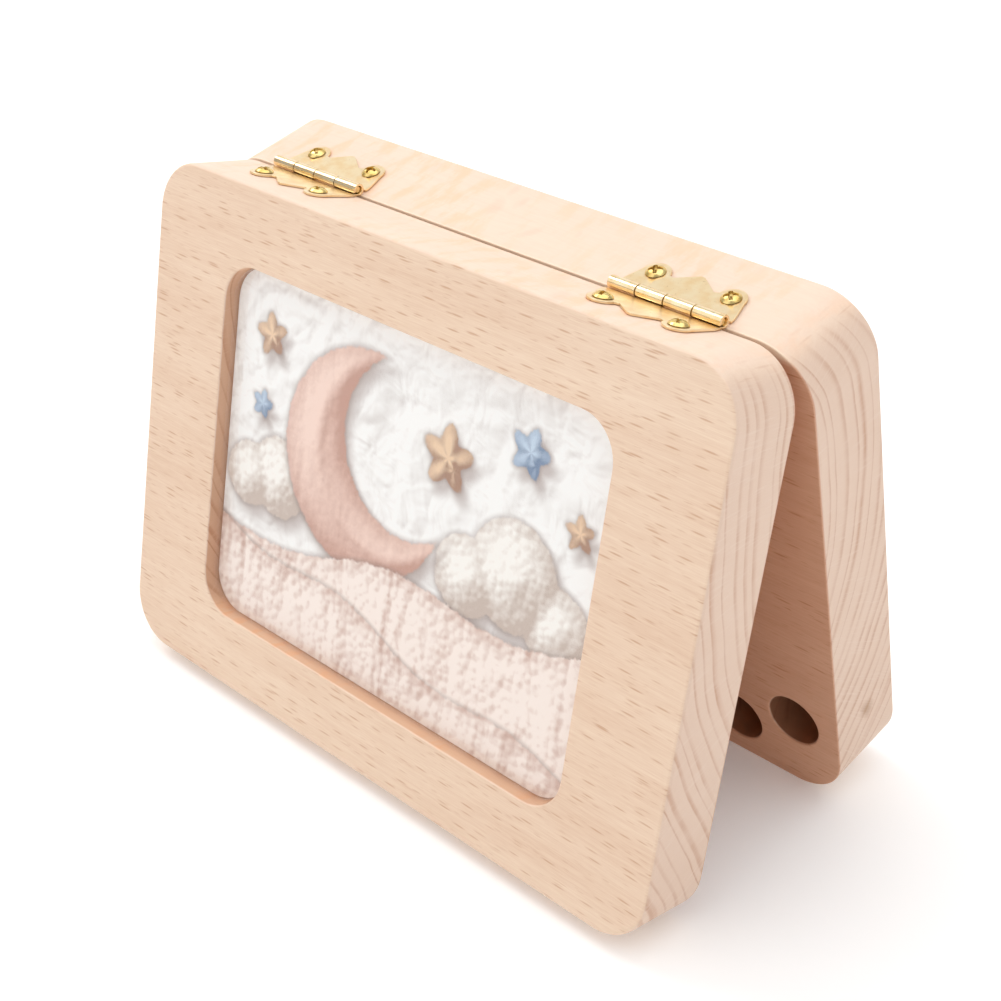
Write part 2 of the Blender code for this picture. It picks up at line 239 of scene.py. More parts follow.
def tooth_holes(low):
    """The row of blind holes: flat-bottomed, with the drill's centre mark, the end two raised."""
    holes = []
    for index in range(TOOTH_HOLE_COUNT):
        rise = TOOTH_ROW_END_RISE if index in (0, TOOTH_HOLE_COUNT - 1) else 0
        centre = np.array([(index - (TOOTH_HOLE_COUNT - 1) / 2) * TOOTH_HOLE_PITCH,
                           low[2] + TOOTH_ROW_BOTTOM_MARGIN + rise])
        mark = ((TOOTH_HOLE_RADIUS - DRILL_POINT_RADIUS, TOOTH_HOLE_DEPTH),
                (TOOTH_HOLE_RADIUS - DRILL_POINT_TIP, TOOTH_HOLE_DEPTH + DRILL_POINT_DEPTH))
        holes.append(pocket(centre - TOOTH_HOLE_RADIUS, centre + TOOTH_HOLE_RADIUS,
                            TOOTH_HOLE_RADIUS, low[1], 1, TOOTH_HOLE_DEPTH, FLOOR_FILLET, mark))
    return holes


def half_mesh(half, inner_pockets, outer_pockets):
    """A half: its edges' band, and its two faces filled round their pockets."""
    low, high = own_box(f"{half}_half", half)
    band, inner, outer = block_patches(low, high, CORNER_RADIUS, INNER_EASE, OUTER_EASE)
    patches = [band, flat_fill(inner, [rim for rim, _ in inner_pockets], low[1]),
               flat_fill(outer, [rim for rim, _ in outer_pockets], high[1])]
    for _, below in [*inner_pockets, *outer_pockets]:
        patches += below
    return joined_mesh(f"{half}_beech", half, patches)


class Paint:
    """One socket in a material. Sums, products and the like of sockets add their Math nodes."""

    def __init__(self, tree, socket=None):
        self.tree = tree
        self.socket = socket

    def add(self, kind, inputs=None, output=0, stops=None, **settings):
        """Add a node: its settings and ramp stops first, then its sockets' values or links."""
        node = self.tree.nodes.new("ShaderNode" + kind)
        for name, value in settings.items():
            setattr(node, name, value)
        if stops:
            elements = node.color_ramp.elements
            while len(elements) < len(stops):
                elements.new(1)
            for element, (place, colour) in zip(elements, stops):
                element.position = place
                element.color = colour
        for key, value in (inputs or {}).items():
            if isinstance(value, Paint):
                self.tree.links.new(value.socket, node.inputs[key])
            else:
                node.inputs[key].default_value = value
        return Paint(self.tree, node.outputs[output])

    def other(self, output):
        """Another output of the same node."""
        return Paint(self.tree, self.socket.node.outputs[output])

    def math(self, operation, *values):
        """A Math node on these numbers or sockets."""
        return self.add("Math", dict(enumerate(values)), operation=operation)

    def __add__(self, other):
        return self.math("ADD", self, other)

    def __sub__(self, other):
        return self.math("SUBTRACT", self, other)

    def __rsub__(self, other):
        return self.math("SUBTRACT", other, self)

    def __mul__(self, other):
        return self.math("MULTIPLY", self, other)

    def __truediv__(self, other):
        return self.math("DIVIDE", self, other)

    def __pow__(self, other):
        return self.math("POWER", self, other)

    def __neg__(self):
        return self.math("SUBTRACT", 0, self)

    __radd__ = __add__
    __rmul__ = __mul__

    def step(self, start, end):
        """0 before start, 1 after end, and a smooth rise or fall between them."""
        rising = start < end
        inputs = {"Value": self, "From Min": min(start, end), "From Max": max(start, end),
                  "To Min": 0.0 if rising else 1.0, "To Max": 1.0 if rising else 0.0}
        return self.add("MapRange", inputs, interpolation_type="SMOOTHSTEP")

    def mix(self, first, second, blend="MIX"):
        """A colour that goes from first to second as this socket goes from 0 to 1."""
        return self.add("Mix", {0: self, 6: first, 7: second}, output=2,
                        data_type="RGBA", blend_type=blend)

    def noise(self, size, detail=2.0, roughness=0.5):
        """Noise on this vector, whose sizes are the pattern's lengths along the three axes."""
        return self.scaled(size).add_to("TexNoise", {"Scale": 1.0, "Detail": detail,
                                                     "Roughness": roughness})

    def scaled(self, size):
        """This vector, divided by a length for each axis."""
        return self.add("VectorMath", {0: self, 1: size}, operation="DIVIDE")

    def add_to(self, kind, inputs, output=0, **settings):
        """A node that takes this socket as its vector."""
        return self.add(kind, {"Vector": self, **inputs}, output, **settings)


def tone(red, green, blue):
    """A colour as 0 to 255 of each primary, made the linear colour that a shader takes."""
    share = np.array([red, green, blue]) / 255
    linear = np.where(share <= 0.04045, share / 12.92, ((share + 0.055) / 1.055) ** 2.4)
    return (*linear.tolist(), 1.0)


def new_finish(name):
    """A material with its shader, and a Paint to add its nodes with."""
    finish = bpy.data.materials.new(name)
    finish.use_nodes = True
    return finish, finish.node_tree.nodes["Principled BSDF"], Paint(finish.node_tree)


def dress(shader, paint, **values):
    """Set or link a shader's sockets; an underscore in a name stands for a space."""
    for key, value in values.items():
        socket = shader.inputs[key.replace("_", " ")]
        if isinstance(value, Paint):
            paint.tree.links.new(value.socket, socket)
        else:
            socket.default_value = value


MILLIMETRE = (0.001, 0.001, 0.001)
# The patterns' lengths in millimetres: along the grain, through the board and up the board.
# A ray's are along the grain, out from the pith and round it.
RING_WANDER = (90, 26, 26)
RING_WANDER_REACH = 4.5
RING_SHIVER = (40, 3, 3)
RING_SHIVER_REACH = 0.2
RING_GAP_SPREAD = 3
YEAR_FADE = (200, 6, 6)
SLOW_GRAIN = (80, 16, 18)
BAND = (60, 9, 5)
FIBRE = (5, 0.5, 0.2)
LONG_FIBRE = (22, 1.4, 0.6)
STRAND_DRIFT = (1000, 2.5, 1.3)
STRAND_DRIFT_REACH = 24
COARSE_FLECK = (5.6, 11, 0.6)
FINE_FLECK = (3.0, 7, 0.36)
FLECK_DRIFT = (1000, 12, 4)
FLECK_DRIFT_REACH = 11
BLUSH_PATCH = (3.6, 9, 9)
BLUSH_FIELD = (24, 30, 30)
RAY = (3, 5, 0.3)
RAY_RADIUS = 90
PORE = (0.5, 0.22, 0.22)
# Over which distances from a half's faces the painted shade and painted rim light fade, and the
# depth from the inner face that the drilled holes stay above and the photo pocket's walls stay
# below.
FACE_FADE = (0.1, 0.4)
RIM_FADE = (0.8, 3)
SIDE_FADE = (3.2, 3.4)
END_FADE = (2.6, 2.9)
HOLES_END = 10.1
HOLES_FADE = 0.2
GRAIN_RELIEF = 0.00006
BEECH_LIGHT = tone(243, 217, 192)
BEECH_DARK = tone(228, 194, 167)
BEECH_FLECK = tone(194, 138, 98)
# A paler tone for faces that point up or down: painted light from above.
BEECH_PAINTED_TOP_LIGHT = tone(247, 223, 208)
BEECH_BLUSH = tone(250, 204, 168)
END_LIGHT = tone(235, 209, 189)
END_DARK = tone(223, 192, 171)
END_RING = tone(196, 148, 119)
END_RAY = tone(243, 223, 207)
KNOT = tone(178, 136, 104)
# Painted shade for the inner faces, the drilled holes and the photo pocket; painted light for the
# rims.
INNER_PAINTED_SHADE = tone(236, 209, 195)
RIM_PAINTED_LIGHT = tone(255, 230, 205)
DRILLED_PAINTED_SHADE = tone(172, 136, 112)
ROUTED_PAINTED_SHADE = tone(236, 215, 198)


def drifted(board, size, reach):
    """The board's coordinates, slid along the grain by noise that changes across it."""
    drift = board.noise(size, detail=1.0) * reach
    return board.add("VectorMath", {0: board, 1: drift.add("CombineXYZ", {"X": drift})})


def growth_rings(board, distance, ring_gap):
    """Rings round the pith: the distance from it over the ring gap, less its whole part.

    A year darkens slowly outwards, with a soft line near its end. Noise bends the rings, makes
    years wide or narrow, and fades some. Also returns the finest of the bends.
    """
    wander = board.noise(RING_WANDER, detail=1.0) - 0.5
    shiver = board.noise(RING_SHIVER, detail=1.0) - 0.5
    radius = distance + wander * RING_WANDER_REACH + shiver * RING_SHIVER_REACH
    growth = radius.add("TexNoise", {"W": radius * 0.3, "Scale": 1.0}, noise_dimensions="1D")
    years = (radius + growth * RING_GAP_SPREAD) / ring_gap
    since_spring = years.math("FRACT", years)
    vigour = years.add("TexWhiteNoise", {"W": years.math("FLOOR", years)}, noise_dimensions="1D")
    year = board.noise(YEAR_FADE, detail=1.0).step(0.3, 0.7) * 0.4 + vigour * 0.45 + 0.2
    late_wood = since_spring.step(0.55, 0.88) * since_spring.step(1.0, 0.88)
    return (late_wood + since_spring * 0.12) * year, shiver


def flecks(board, cell, share):
    """Ray flecks: ellipses round random points of cells, in a share of them, some fainter."""
    cells = board.scaled(cell).add_to("TexVoronoi", {"Scale": 1.0})
    chance = cells.other("Color").add_to("SeparateXYZ", {})
    size = chance.other("Y") * 0.24 + 0.17
    return (cells / size).step(1.0, 0.35) * chance.step(1 - share, 1 - share * 0.5)


def planed_face(board, slow, ring, upward):
    """A face's colour, with fibres, bands and flecks, and a blush on top; its shade and relief."""
    strands = drifted(board, STRAND_DRIFT, STRAND_DRIFT_REACH)
    fibres = strands.noise(FIBRE, detail=3, roughness=0.6)
    long_fibres = strands.noise(LONG_FIBRE)
    bands = board.noise(BAND)
    shade = slow * 0.6 + fibres * 1.5 + long_fibres * 0.8 + bands * 0.8 + ring * 0.1 - 1.38
    face = (shade * (1 - upward * 0.5)).mix(BEECH_LIGHT, BEECH_DARK)
    # Faces that point up or down are mixed towards a paler tone: painted light from above.
    face = (upward * 0.4).mix(face, BEECH_PAINTED_TOP_LIGHT)
    strewn = drifted(board, FLECK_DRIFT, FLECK_DRIFT_REACH)
    coarse = flecks(strewn, COARSE_FLECK, 0.8)
    fine = flecks(strewn, FINE_FLECK, 0.6) * 0.5
    fleck = coarse.math("MAXIMUM", coarse, fine)
    face = (fleck * (1 - upward * 0.8) * 0.54).mix(face, BEECH_FLECK)
    patches = board.noise(BLUSH_PATCH, detail=4, roughness=0.65)
    blush = patches.step(0.45, 0.66) * board.noise(BLUSH_FIELD).step(0.3, 0.6) * upward * 0.7
    relief = fibres * 0.5 + long_fibres * 0.3 - fleck * 0.8
    return blush.mix(face, BEECH_BLUSH), shade, relief


def sawn_end(board, fan, slow, ring, shiver, knot):
    """An end's colour: pores, rings, rays that fan out across them, and a knot if it has one.

    The fan is a place along the board, from the pith and round it, at a usual ray's radius.
    """
    rays = fan.noise(RAY)
    pores = board.noise(PORE)
    end = (slow * 0.7 + rays * 0.7 + pores * 0.6 - 0.55).mix(END_LIGHT, END_DARK)
    end = (ring * 0.7).mix(end, END_RING)
    end = (rays.step(0.45, 0.8) * 0.35).mix(end, END_RAY)
    if knot:
        spot = board.add("VectorMath", {0: board, 1: knot}, output="Value", operation="DISTANCE")
        end = ((spot + shiver * 2 + rays * 1.5).step(3.4, 0.6) * 0.6).mix(end, KNOT)
    return end


def painted_shade_and_light(colour, low, high, length, depth, height):
    """Painted shade on the inner face, drilled holes and photo pocket; painted light on its top
    rim.
    """
    inner = depth.step(low[1] + FACE_FADE[1], low[1] + FACE_FADE[0])
    rim = inner * height.step(high[2] - RIM_FADE[1], high[2] - RIM_FADE[0])
    # The inner face is darkened with painted shade, which fades out towards its top rim.
    colour = (inner - rim).mix(colour, INNER_PAINTED_SHADE, blend="MULTIPLY")
    # The inner face's top rim, where the halves meet, is lightened with painted light.
    colour = rim.mix(colour, RIM_PAINTED_LIGHT)

    within = inner.math("ABSOLUTE", length).step(high[0] - SIDE_FADE[0], high[0] - SIDE_FADE[1])
    within = within * height.step(low[2] + END_FADE[0], low[2] + END_FADE[1])
    within = within * height.step(high[2] - END_FADE[0], high[2] - END_FADE[1])
    floors = low[1] + HOLES_END
    drilled = within * (1 - inner) * depth.step(floors, floors - HOLES_FADE)
    # The drilled holes and the recess for hair are darkened with painted shade.
    colour = drilled.mix(colour, DRILLED_PAINTED_SHADE, blend="MULTIPLY")
    # The walls of the routed photo pocket are darkened with painted shade.
    routed = within * depth.step(floors, floors + HOLES_FADE)
    routed = routed * depth.step(high[1] - FACE_FADE[0], high[1] - FACE_FADE[1])
    return routed.mix(colour, ROUTED_PAINTED_SHADE, blend="MULTIPLY")


def beech(half, pith, ring_gap, knot=None):
    """Planed beech. Its grain runs along x, and its growth rings are cylinders round the pith.

    Rings show on the ends, and ray flecks on the faces.
    """
    low, high = (corner / MILLIMETRE[0] for corner in own_box(f"{half}_half", half))
    finish, shader, paint = new_finish(f"beech_{half}")
    place = {"Location": PIN_AXIS, "Rotation": (SIDES[half] * TILT, 0, 0), "Scale": MILLIMETRE}
    board = paint.add("TexCoord", output="Object").add_to("Mapping", place, vector_type="TEXTURE")
    length, across, height = (board.add_to("SeparateXYZ", {}, output=axis)
                              for axis in ("X", "Y", "Z"))
    depth = across * SIDES[half]
    facing = paint.add("TexCoord", output="Normal").add_to("SeparateXYZ", {})
    end_grain = facing.math("ABSOLUTE", facing).step(0.45, 0.8)
    upward = facing.math("ABSOLUTE", facing.other("Z")).step(0.6, 0.95)

    side, rise = depth - pith[0], height - pith[1]
    distance = (side * side + rise * rise) ** 0.5
    around = rise.math("ARCTAN2", rise, side) * RAY_RADIUS
    fan = board.add("CombineXYZ", {"X": length, "Y": distance, "Z": around})
    ring, shiver = growth_rings(board, distance, ring_gap)
    slow = board.noise(SLOW_GRAIN, detail=3)
    face, shade, relief = planed_face(board, slow, ring, upward)
    colour = end_grain.mix(face, sawn_end(board, fan, slow, ring, shiver, knot))
    bump = paint.add("Bump", {"Height": relief, "Strength": 0.2, "Distance": GRAIN_RELIEF},
                     output="Normal")
    dress(shader, paint, Base_Color=painted_shade_and_light(colour, low, high, length, depth, height),
          Roughness=0.46 + shade * 0.16, Normal=bump, Specular_IOR_Level=0.35)
    return finish


# Each pith's distance from the meeting plane and height, and the knot's place, in millimetres.
FRONT_PITH = (-87, -4)
FRONT_RING_GAP = 2.4
BACK_PITH = (-46, -22)
BACK_RING_GAP = 2.3
BACK_KNOT = (65, 8.5, -79.5)

front_low, front_high = own_box("front_half", "front")
print_low, print_high = own_box("photo_print", "front")
window = (print_low[::2] - SHEET_GAP, print_high[::2] + SHEET_GAP, PHOTO_POCKET_RADIUS)
photo_pocket = pocket(*window, front_high[1], -1, PHOTO_POCKET_DEPTH, FLOOR_FILLET)
front_beech = add_piece("front_beech", half_mesh("front", tooth_holes(front_low), [photo_pocket]),
                        "front", beech("front", FRONT_PITH, FRONT_RING_GAP), "beech", "front_half")
even_shading(front_beech)

back_low, back_high = own_box("back_half", "back")
recess_low = back_low[::2] + (RECESS_SIDE_MARGIN, RECESS_BOTTOM_MARGIN)
recess_high = back_high[::2] - (RECESS_SIDE_MARGIN, RECESS_TOP_MARGIN)
recess = pocket(recess_low, recess_high, RECESS_RADIUS, back_low[1], 1, RECESS_DEPTH, FLOOR_FILLET)
back_beech = add_piece("back_beech", half_mesh("back", [*tooth_holes(back_low), recess], []),
                       "back", beech("back", BACK_PITH, BACK_RING_GAP, BACK_KNOT), "beech",
                       "back_half")
even_shading(back_beech)

# Photo print: a card in the pocket, with a nursery picture: a plush moon tucked into a fleecy
# blanket, with clouds and stars, on rumpled cotton. Each shape is a distance from its outline in
# the picture's own millimetres, puffed up by how deep a point lies inside, lit from upper left.
PRINT_CORNER = PHOTO_POCKET_RADIUS - SHEET_GAP
SHEET_EASE = 0.00005
SHEET_LIGHT = tone(255, 253, 250)
SHEET_SHADE = tone(204, 194, 188)
TOY_SHADOW = tone(170, 150, 142)
CREVICE = tone(126, 88, 72)
MOON = (tone(196, 142, 120), tone(250, 218, 202))
CREAM = (tone(200, 180, 166), tone(255, 250, 243))
SAND = (tone(166, 118, 84), tone(240, 206, 168))
BLUE = (tone(104, 130, 164), tone(196, 214, 232))
BLANKET = (tone(202, 162, 144), tone(253, 238, 228))
LIGHT_STEP = 1.6
SHADOW_SHIFT = (1.5, -1.8)
SHADOW_FADE = (2.0, -1.6)
CREVICE_FADE = (1.2, -0.4)
PUFF_FADE = (0.5, -4.5)
NAP = (0.5, 0.5, 0.5)
WISP = (2.4, 2.4, 2.4)
FOLD = (14, 14, 14)
RUMPLE = (5, 5, 5)
DRAPE = (6, 6, 17)
CURL = (1.5, 1.5, 1.5)
LUMPY = {"Detail": 3.0, "Distortion": 0.8}
NAP_RELIEF = 0.00002
BITE_SOFTNESS = 1.5
PUFF_SOFTNESS = 1.2
STAR_POINTS = 5
STAR_SWELL = 0.24


def plate_mesh(name, node, corner, ease):
    """A flat sheet with round corners and eased rims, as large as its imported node."""
    low, high = own_box(node, "front")
    band, near, far = block_patches(low, high, corner, ease, ease)
    faces = [one_face(at_depth(near, low[1])), one_face(at_depth(far, high[1]))]
    return joined_mesh(name, "front", [band, *faces])


def disc(at, centre, size):
    """How far a point lies outside a circle."""
    side, rise = at[0] - centre[0], at[1] - centre[1]
    return (side * side + rise * rise) ** 0.5 - size


def crescent(centre, size, bite_centre, bite_size):
    """A moon: outside the first circle, or inside the one that bites into it."""
    def shape(at):
        moon = disc(at, centre, size)
        return moon.math("SMOOTH_MAX", moon, -disc(at, bite_centre, bite_size), BITE_SOFTNESS)
    return shape


def cloud(*puffs):
    """A cloud: the nearest of its round puffs."""
    def shape(at):
        nearest = disc(at, *puffs[0])
        for puff in puffs[1:]:
            nearest = nearest.math("SMOOTH_MIN", nearest, disc(at, *puff), PUFF_SOFTNESS)
        return nearest
    return shape


def star(centre, size, turn):
    """A round-pointed star: a circle whose size swells five times in a turn."""
    def shape(at):
        side, rise = at[0] - centre[0], at[1] - centre[1]
        angle = rise.math("ARCTAN2", rise, side)
        points = angle.math("COSINE", angle * STAR_POINTS - math.radians(turn) * STAR_POINTS)
        return (side * side + rise * rise) ** 0.5 - (points * STAR_SWELL + 1) * size
    return shape


def blanket(height, slope, swell, length):
    """A blanket: all that lies below a line with this slope and waves this high and long."""
    def shape(at):
        wave = at[0].math("SINE", at[0] / length + height)
        return at[1] - at[0] * slope - wave * swell - height
    return shape


# Each shape, its tones, and how strongly its pile curls and its folds show.
TOYS = (
    (cloud(((-38, -5), 6), ((-30, -3), 7.5)), CREAM, 0.8, 0.4),
    (cloud(((17, -3), 7), ((27, 1), 9.5), ((37, -4), 7)), CREAM, 0.8, 0.4),
    (crescent((-9, 7), 20, (1, 13), 15.5), MOON, 0.25, 0.8),
    (star((10, 15), 4.6, 90), SAND, 0.2, 0.0),
    (star((27, 22), 3.4, 78), BLUE, 0.2, 0.0),
    (star((-35, 22), 3.2, 100), SAND, 0.2, 0.0),
    (star((39, 13), 2.4, 96), SAND, 0.2, 0.0),
    (star((-36, 9), 2.2, 80), BLUE, 0.2, 0.0),
    (blanket(-11, 0.1, 2.0, 9.0), BLANKET, 1.0, 2.4),
    (blanket(-22, -0.16, 1.6, 7.0), BLANKET, 1.0, 2.4),
)


def nursery_print():
    """The picture: folds of the sheet, then each shape's shadow and its puffed, fleecy self."""
    finish, shader, paint = new_finish("nursery_print")
    middle = STAND["front"] @ Vector((0, 0, (print_low[2] + print_high[2]) / 2))
    place = {"Location": middle, "Rotation": (SIDES["front"] * TILT, 0, 0), "Scale": MILLIMETRE}
    card = paint.add("TexCoord", output="Object").add_to("Mapping", place, vector_type="TEXTURE")
    flat = card.add_to("VectorMath", {1: (1, 0, 1)}, operation="MULTIPLY")
    at = tuple(flat.add_to("SeparateXYZ", {}, output=axis) for axis in ("X", "Z"))
    nap = flat.noise(NAP, detail=3, roughness=0.7)
    wisps = flat.noise(WISP, detail=3)
    ragged = (nap - 0.5) * 1.2 + (wisps - 0.5) * 1.4

    def relief(kind, size, shift, inputs, **settings):
        """How far a surface faces the light: its height less that a shift to the upper left."""
        lit_side = flat.add_to("VectorMath", {1: (-shift, 0, shift)}, operation="ADD")
        here, there = (vector.scaled(size).add_to(kind, {"Scale": 1.0, **inputs}, **settings)
                       for vector in (flat, lit_side))
        return here - there

    folds = relief("TexNoise", FOLD, 1.2, LUMPY)
    rumples = relief("TexNoise", RUMPLE, 0.5, LUMPY)
    drapes = relief("TexNoise", DRAPE, 1.0, LUMPY)
    curls = -relief("TexVoronoi", CURL, 0.4, {"Smoothness": 0.5}, feature="SMOOTH_F1")
    picture = (0.12 - folds * 2.4 - rumples * 1.6 + (nap - 0.5) * 0.1).mix(SHEET_LIGHT, SHEET_SHADE)
    for shape, (dark, light), curl, fold in TOYS:
        edge = shape(at)
        cast = shape((at[0] - SHADOW_SHIFT[0], at[1] - SHADOW_SHIFT[1]))
        toward = shape((at[0] - LIGHT_STEP, at[1] + LIGHT_STEP))
        picture = (cast.step(*SHADOW_FADE) * 0.7).mix(picture, TOY_SHADOW)
        picture = (edge.step(*CREVICE_FADE) * 0.55).mix(picture, CREVICE)
        puffed = (toward - edge) * 0.2 + edge.step(*PUFF_FADE) * 0.45 + 0.1
        pile = curls * curl + (nap - 0.5) * 0.5 + drapes * fold + 0.05
        picture = (edge + ragged).step(0.25, -0.25).mix(picture, (puffed + pile).mix(dark, light))
    bump = paint.add("Bump", {"Height": nap, "Strength": 0.05, "Distance": NAP_RELIEF},
                     output="Normal")
    dress(shader, paint, Base_Color=picture, Roughness=nap * 0.1 + 0.35, Normal=bump)
    return finish


card_mesh = plate_mesh("nursery_card", "photo_print", PRINT_CORNER, SHEET_EASE)
card = add_piece("nursery_card", card_mesh, "front", nursery_print(), "printed_card", "photo_print")
even_shading(card)

# Clear pane: a sheet of cast acrylic over the print, cut with round corners and its rim broken.
# It mirrors more the more it is seen from the side, and the rest of it is see-through.
PANE_EASE = 0.0001
ACRYLIC_MIRROR = 0.04
DUST = (0.006, 0.006, 0.006)


def clear_acrylic():
    """Part mirror, part see-through, with a faint haze of dust.

    The mirror's share is r + (1 - r) * (1 - cos a) ** 5, alike on both sides, where r is its
    share when seen square on, and a is the angle off square.
    """
    finish, shader, paint = new_finish("clear_acrylic")
    dust = paint.add("TexCoord", output="Object").noise(DUST, detail=4)
    slant = paint.add("LayerWeight", {"Blend": 0.5}, output="Facing") ** 5
    mirror = slant * (1 - ACRYLIC_MIRROR) + ACRYLIC_MIRROR + dust.step(0.55, 0.8) * 0.01
    dress(shader, paint, Base_Color=tone(255, 255, 255), Metallic=1.0, Alpha=mirror,
          Roughness=dust * 0.04 + 0.02)
    return finish


pane_mesh = plate_mesh("acrylic_pane", "clear_pane", PRINT_CORNER, PANE_EASE)
pane = add_piece("acrylic_pane", pane_mesh, "front", clear_acrylic(), "clear_acrylic", "clear_pane")
even_shading(pane)

# Butterfly hinges: each leaf is a blank stamped from thin brass sheet, with two round lobes for
# the screws and a blunt peak between them, whose two tongues are rolled round the pin. The
# leaves of a hinge are alike, and the front one is turned end for end, so that they interlock.
SHEET = 0.0004
PIN_RADIUS = 0.0006
PIN_CLEARANCE = 0.0001
PIN_END_ROUND = 0.0002
ROLL_ANGLE = math.radians(300)
ROLL_STEPS = 44
KNUCKLE_COUNT = 4
KNUCKLE_GAP = 0.0002
KNUCKLE_SIDE_CLEARANCE = 0.0002
LEAF_SHOULDER = 0.0022
LOBE_RADIUS = 0.0025
LOBE_STEPS = 24
NOTCH_OFFSET = 0.0033
NOTCH_REACH = 0.0061
PEAK_WIDTH = 0.0008
PEAK_REACH = 0.0085
SCREW_HOLE_RADIUS = 0.0015
PIN_STEPS = 40
BURR = 0.00007
ROLL_RADIUS = PIN_RADIUS + PIN_CLEARANCE + SHEET / 2
BARREL_RADIUS = ROLL_RADIUS + SHEET / 2
# The brass's patterns in millimetres, the depth of its scratches, and how far from the pin's
# axis the handled knuckles end.
CLOUD = (2.2, 2.2, 2.2)
SPOT = (0.35, 0.35, 0.35)
SCRATCHES = ((0.05, 1.6, 1.6), (1.8, 0.04, 1.8))
SCRATCH_RELIEF = 0.00003
KNUCKLE_FADE = (1.1, 1.3)


def circle(centre, radius, steps):
    """Points centre + radius * (cos a, sin a) round a circle."""
    turn = np.radians(np.linspace(0, 360, steps, endpoint=False))
    return np.asarray(centre) + radius * np.stack([np.cos(turn), np.sin(turn)], axis=-1)


def blank_outline(length, spacing, reach, root, corners):
    """The flat outline beyond the knuckles: shoulders, an arc round each lobe, and the peak."""
    lobe = spacing / 2
    start = math.atan2(NOTCH_REACH - reach, -NOTCH_OFFSET)
    turn = np.linspace(start, 0, LOBE_STEPS + 1)[1:]
    arc = np.stack([lobe + LOBE_RADIUS * np.cos(turn), reach + LOBE_RADIUS * np.sin(turn)], axis=-1)
    right = np.array([(PEAK_WIDTH / 2, PEAK_REACH), (lobe - NOTCH_OFFSET, NOTCH_REACH), *arc,
                      (length / 2, LEAF_SHOULDER), (length / 2, root)])
    inner = np.array([(x, root) for x in corners])[::-1]
    return np.concatenate([right, inner, right[::-1] * (-1, 1)])


def rolled(points):
    """A flat blank's points, x and v, with v below 0 wound round the pin on the sheet's middle.

    Beyond the pin, t = v and z = -roll radius; on the roll both follow the angle v / radius.
    """
    x, v = points[:, 0], points[:, 2]
    angle = np.minimum(v, 0) / ROLL_RADIUS - math.pi / 2
    t = np.maximum(v, 0) + ROLL_RADIUS * np.cos(angle)
    return np.stack([x, t, ROLL_RADIUS * np.sin(angle)], axis=-1)


def leaf_mesh(name, half, hinge):
    """A leaf's middle surface: the blank filled round its screw holes, and its tongues rolled."""
    low, high = own_box(f"{hinge}_hinge_{half}_leaf", half)
    centre, length = (low[0] + high[0]) / 2, high[0] - low[0]
    left, right = (sum(own_box(f"{hinge}_hinge_{half}_{end}_screw", half)) / 2
                   for end in ("left", "right"))
    spacing, reach = right[0] - left[0], left[1]
    root = BARREL_RADIUS + KNUCKLE_SIDE_CLEARANCE
    pitch = length / KNUCKLE_COUNT
    tongues = [(slot * pitch - length / 2 + (KNUCKLE_GAP / 2 if slot else 0),
                (slot + 1) * pitch - length / 2 - KNUCKLE_GAP / 2)
               for slot in range(0, KNUCKLE_COUNT, 2)]
    corners = [x for tongue in tongues for x in tongue if abs(x) < length / 2 - MERGE_DISTANCE]
    holes = [circle((side * spacing / 2, reach), SCREW_HOLE_RADIUS, PIN_STEPS)
             for side in (-1, 1)]
    patches = [flat_fill(blank_outline(length, spacing, reach, root, corners), holes, 0)]
    along = np.concatenate([[root], np.linspace(0, -ROLL_RADIUS * ROLL_ANGLE, ROLL_STEPS + 1)])
    for start, end in tongues:
        rows = np.array([[(start, 0, v), (end, 0, v)] for v in along])
        patches.append(ring_grid(rows, closed=False))
    shaped = []
    for points, faces in patches:
        points = rolled(points)
        points[:, 0] = centre + points[:, 0] * SIDES[half]
        shaped.append((points, faces))
    return joined_mesh(name, half, shaped)


def pin_mesh(name, hinge):
    """The pin: a rod turned along x, whose ends are rounded over."""
    low, high = own_box(f"{hinge}_hinge_pin", "back")
    inset, depth = quarter_round(PIN_END_ROUND)
    places = [*(low[0] + depth), *(high[0] - depth[::-1])]
    radii = PIN_RADIUS - np.array([*inset, *inset[::-1]])
    rows = [np.insert(circle((0, 0), radius, PIN_STEPS), 0, x, axis=1)
            for x, radius in zip(places, radii)]
    return joined_mesh(name, "back", [ring_grid(rows), one_face(rows[0]), one_face(rows[-1])])


def brass(name, light, dark, tarnish_and_shade, gloss, knuckle_gloss):
    """Polished brass: a cloudy tint, tarnish in spots, patches of duller gloss, and fine scratches.

    Round the pin's axis, which the pattern is centred on, handling has kept it brighter.
    """
    finish, shader, paint = new_finish(name)
    place = {"Location": PIN_AXIS, "Scale": MILLIMETRE}
    metal = paint.add("TexCoord", output="Object").add_to("Mapping", place, vector_type="TEXTURE")
    across = metal.add_to("VectorMath", {1: (0, 1, 1)}, operation="MULTIPLY")
    from_axis = across.add("VectorMath", {0: across}, output="Value", operation="LENGTH")
    gloss = from_axis.step(*KNUCKLE_FADE) * (gloss - knuckle_gloss) + knuckle_gloss
    clouds = metal.noise(CLOUD, detail=4)
    spots = metal.noise(SPOT, detail=3).step(0.66, 0.78)
    scratches = metal.noise(SCRATCHES[0], detail=3) + metal.noise(SCRATCHES[1], detail=3)
    tint = clouds.step(0.3, 0.75).mix(light, dark)
    # Dirt and painted shade, from the mesh, darken the screws' cross recesses and lips towards the
    # tarnish colour.
    grime = paint.add("Attribute", output="Fac", attribute_name="grime")
    tint = (spots * 0.6 + grime * 0.7).mix(tint, tarnish_and_shade)
    relief = {"Height": scratches + clouds * 3, "Strength": 0.12, "Distance": SCRATCH_RELIEF}
    bump = paint.add("Bump", relief, output="Normal")
    dress(shader, paint, Base_Color=tint, Metallic=1.0, Normal=bump,
          Roughness=clouds * 0.12 + spots * 0.2 + scratches * 0.05 + gloss)
    return finish


